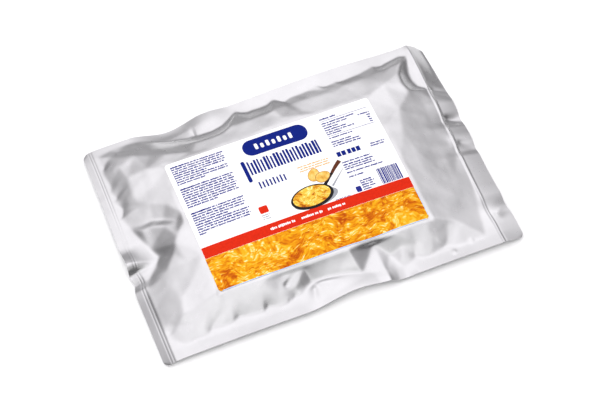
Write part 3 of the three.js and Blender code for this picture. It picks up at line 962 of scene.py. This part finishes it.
def make_print():
    """The label's print as fields of colour, plain shapes and rows of marks."""
    random = np.random.default_rng(11)
    half_u, half_v = LABEL["length"] / 2, LABEL["width"] / 2

    blue = Ink("print_blue", ink_material("ink_blue", (0.002, 0.012, 0.175)))
    blue.block(-33.5, 41, 57.2, 79.5, radius=10.5)
    for i in range(TITLE_STROKES):
        u = TITLE_LEFT + i * TITLE_PITCH
        wide = random.uniform(1.9, 2.9)
        blue.block(u, u + wide, 33.0, 52.0 - 2.4 * (i % 3 == 1), radius=0.8)
    blue.block(TITLE_LEFT - 6.0, TITLE_LEFT - 1.8, 25.0, 54.5, radius=2.0)
    for i in range(8):
        blue.block(-34.0 + i * 4.0, -32.2 + i * 4.0, 13.2, 22.6 - 1.0 * (i % 2), radius=0.6)
    u = 57.5
    for wide in (4.6, 4.6, 0, 4.2, 4.2, 4.4):
        blue.block(u, u + max(wide, 0.01), 20.0, 26.2, radius=0) if wide else None
        u += wide + 1.0
    blue.finish()

    text = Ink("print_small_text", ink_material("ink_text_blue", (0.016, 0.022, 0.20)))
    print_small_text(text, random)
    for row in (71.6, 49.4):
        text.block(58.5, 113.5, row, row + 0.5)
    text.words(58.5, 78, 74.0, 1.8, random, letter=1.5, gap=0.2)
    for top in PARAGRAPH_TOPS:
        text.words(-114, -98, top - 2, 1.6, random, letter=1.3, gap=0.15)
    print_barcode(text, 89, 114, -29.0, -9.0, random)
    text.block(59.5, 65.5, -29.0, -22.0, radius=1.4)
    text.finish()

    orange = Ink("print_orange", ink_material("ink_orange", (0.83, 0.32, 0.03)))
    for row, start, end in [(22.4, 11.5, 47.5), (19.4, 14, 46.5), (16.4, 12, 47)]:
        orange.words(start, end, row, 1.3, random)
    orange.finish()

    red = Ink("print_red", ink_material("ink_red", (0.59, 0.019, 0.003)))
    red.block(-half_u + 0.3, half_u - 0.3, -43.2, -29.8)
    red.block(-46, -36.2, -16.0, -7.2, radius=1.6)
    red.finish()

    grey = Ink("print_grey", ink_material("ink_grey", (0.30, 0.31, 0.34)))
    grey.oval((15.5, -20.0), (25.5, 10.0), 4)
    for i, row in enumerate((-19.0, -21.4, -23.8)):
        grey.words(-46, -36.2, row, 1.1, random, letter=0.9, gap=0.2)
    grey.stroke((38, -12), (57, 5), 2.2, 0.5)
    grey.finish()


    black = Ink("print_black", ink_material("ink_black", (0.012, 0.012, 0.014)), level=2)
    black.oval((12.7, -16.4), (24.2, 13.8), 3, steps=22)
    black.stroke((30.0, -8.3), (43.5, 3.6), 3.6, 2.8)
    black.finish()

    brown = Ink("print_brown", ink_material("ink_brown", (0.10, 0.028, 0.012)), level=2)
    brown.stroke((42.0, 2.2), (57.0, 15.4), 3.2, 4.8, bow=0.5)
    brown.finish()

    potato = Ink("print_potatoes", potato_material())
    ochre = Ink("print_potato_edges", ink_material("ink_ochre", (0.36, 0.16, 0.035)))
    for order, (middle, half, turn) in enumerate(POTATOES):
        outer = (half[0] + 0.6, half[1] + 0.6)
        for ink, size in ((ochre, outer), (potato, half)):
            ink.lift = INK_LIFT * (2 * order + (1 if ink is ochre else 2))
            ink.oval(middle, size, turn, shape=lambda a, b: (a * (1 - 0.12 * b), b))
    ochre.finish()
    potato.finish()

    fried = Ink("print_pan_food", fried_material("ink_pan_food", PAN_COLOURS, 0.62), level=3)
    fried.oval((12.4, -15.4), (21.4, 11.5), 3, steps=22)
    fried.finish()

    strip = Ink("print_food_strip", fried_material("ink_food_strip", STRIP_COLOURS, 1.15))
    xs, ys, _ = LABEL_GRID
    low_rows = ys[ys < LABEL["y"] - 43.4] - LABEL["y"]
    u, v = np.meshgrid(xs - LABEL["x"], np.append(low_rows, -43.4))
    u, v = round_corners(u, v, half_u, half_v, LABEL["radius"])
    strip.patch(u, v)
    strip.finish()

    pale = Ink("print_pale_edge", ink_material("ink_pale_blue", (0.42, 0.60, 0.88)), level=2)
    pale.block(-half_u + 4, half_u - 4, -half_v, -half_v + 0.7)
    pale.block(half_u - 0.6, half_u, -half_v + 4, -43.4)
    pale.finish()

    white = Ink("print_white", ink_material("ink_white", (0.86, 0.86, 0.86)), level=2)
    for i in range(7):
        white.block(-20.0 + i * 6.6, -16.4 + i * 6.6, 64.2, 72.4 - 1.8 * (i % 2), radius=1.4)
    for start, end in ((-43, -13), (-8, 17), (22, 43)):
        white.words(start, end, -37.6, 2.2, random, letter=1.7, gap=0.35)
    white.finish()


# ------------------------------------------------------------------ stage, light and camera
def aim(thing, at):
    thing.rotation_mode = "QUATERNION"
    thing.rotation_quaternion = (Vector(at) - thing.location).to_track_quat("-Z", "Y")


def area_light(name, place, at, size, power):
    lamp = bpy.data.lights.new(name, "AREA")
    lamp.shape = "RECTANGLE"
    lamp.size, lamp.size_y = size
    lamp.energy = power
    holder = bpy.data.objects.new(name, lamp)
    holder.location = place
    bpy.context.scene.collection.objects.link(holder)
    aim(holder, at)
    return holder


def make_stage():
    bpy.ops.mesh.primitive_plane_add(size=12, location=(0, 0, 0))
    floor = bpy.context.object
    floor.name = "floor"
    material, tree, shader = new_material("floor_paper")
    shader.inputs["Base Color"].default_value = (0.9, 0.9, 0.9, 1)
    shader.inputs["Roughness"].default_value = 0.9
    floor.data.materials.append(material)
    floor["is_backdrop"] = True
    make_sky()
    area_light("near_softbox", (-0.35, -1.5, 1.9), (0, 0, 0), (3.0, 2.0), 13)
    fill = area_light("paper_fill", (-0.6, -0.6, 2.0), (0, 0, 0), (1.5, 1.5), 26)
    fill.visible_glossy = False


# The sky's level by the cosine of the angle from its bright middle: cosine, level.
SKY_MIDDLE = (0.09, 0.30, 0.94)
SKY = [(-1.0, 0.08), (0.0, 0.08), (0.30, 0.16), (0.55, 0.34), (0.72, 0.58), (0.85, 0.88), (0.95, 1.14), (1.0, 1.22)]


# The white wall behind the far side: how high and how wide it reaches, as parts of a direction.
WALL_TOP = (0.24, 0.05)
WALL_SIDE = (0.50, 0.80)
WALL_LEVEL = 0.30


def make_sky():
    """A plain studio: one broad bright area overhead that falls off all round, and a white wall behind."""
    world = bpy.data.worlds.new("studio")
    bpy.context.scene.world = world
    world.use_nodes = True
    tree = world.node_tree
    direction = tree.nodes.new("ShaderNodeTexCoord").outputs["Generated"]
    middle = Vector(SKY_MIDDLE).normalized()
    dot = node(tree, "ShaderNodeVectorMath", {0: direction, 1: middle}, operation="DOT_PRODUCT")
    spread = node(tree, "ShaderNodeMapRange", {"Value": dot.outputs["Value"], "From Min": -1.0})
    stops = [((cosine + 1) / 2, (level * 0.5, level * 0.49, level * 0.505)) for cosine, level in SKY]
    overhead = ramp(tree, spread.outputs["Result"], stops)
    parts = node(tree, "ShaderNodeSeparateXYZ", {"Vector": direction})
    low = node(
        tree,
        "ShaderNodeMapRange",
        {"Value": parts.outputs["Z"], "From Min": WALL_TOP[0], "From Max": WALL_TOP[1]},
        interpolation_type="SMOOTHSTEP",
    )
    behind = node(
        tree,
        "ShaderNodeMapRange",
        {"Value": parts.outputs["Y"], "From Min": WALL_SIDE[0], "From Max": WALL_SIDE[1]},
        interpolation_type="SMOOTHSTEP",
    )
    share = node(tree, "ShaderNodeMath", {0: low.outputs[0], 1: behind.outputs[0]}, operation="MULTIPLY")
    wall = (WALL_LEVEL * 0.5, WALL_LEVEL * 0.49, WALL_LEVEL * 0.505, 1)
    both = node(tree, "ShaderNodeMix", {0: share.outputs[0], 6: overhead, 7: wall}, data_type="RGBA")
    background = tree.nodes["Background"]
    background.inputs["Strength"].default_value = 2.75
    tree.links.new(both.outputs[2], background.inputs["Color"])


CAMERA = {"azimuth": -22.27, "elevation": 58.0, "distance": 1.938, "focal_px": 1800.0}
TARGET = (-0.0038, -0.0086, 0.0)
IMAGE_WIDTH = 600


def make_camera():
    lens = bpy.data.cameras.new("camera")
    lens.sensor_width = 36.0
    lens.lens = CAMERA["focal_px"] / IMAGE_WIDTH * lens.sensor_width
    holder = bpy.data.objects.new("camera", lens)
    a, e = math.radians(CAMERA["azimuth"]), math.radians(CAMERA["elevation"])
    back = Vector((math.sin(a) * math.cos(e), -math.cos(a) * math.cos(e), math.sin(e)))
    holder.location = Vector(TARGET) + back * CAMERA["distance"]
    bpy.context.scene.collection.objects.link(holder)
    aim(holder, TARGET)
    bpy.context.scene.camera = holder


bpy.context.scene.view_settings.view_transform = "Standard"
make_camera()
make_stage()
FACETS = facet_field()
CRISP_FIELD = blurred(FACETS, CRISP)
BROAD_FIELD = blurred(FACETS, BROAD)
SHIFT = centre_shift()
LABEL_GRID = label_grid()
make_pouch(foil_material())
make_label(paper_material())
make_print()
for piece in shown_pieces():
    print("triangles", piece.name, 2 * len(piece.data.polygons))
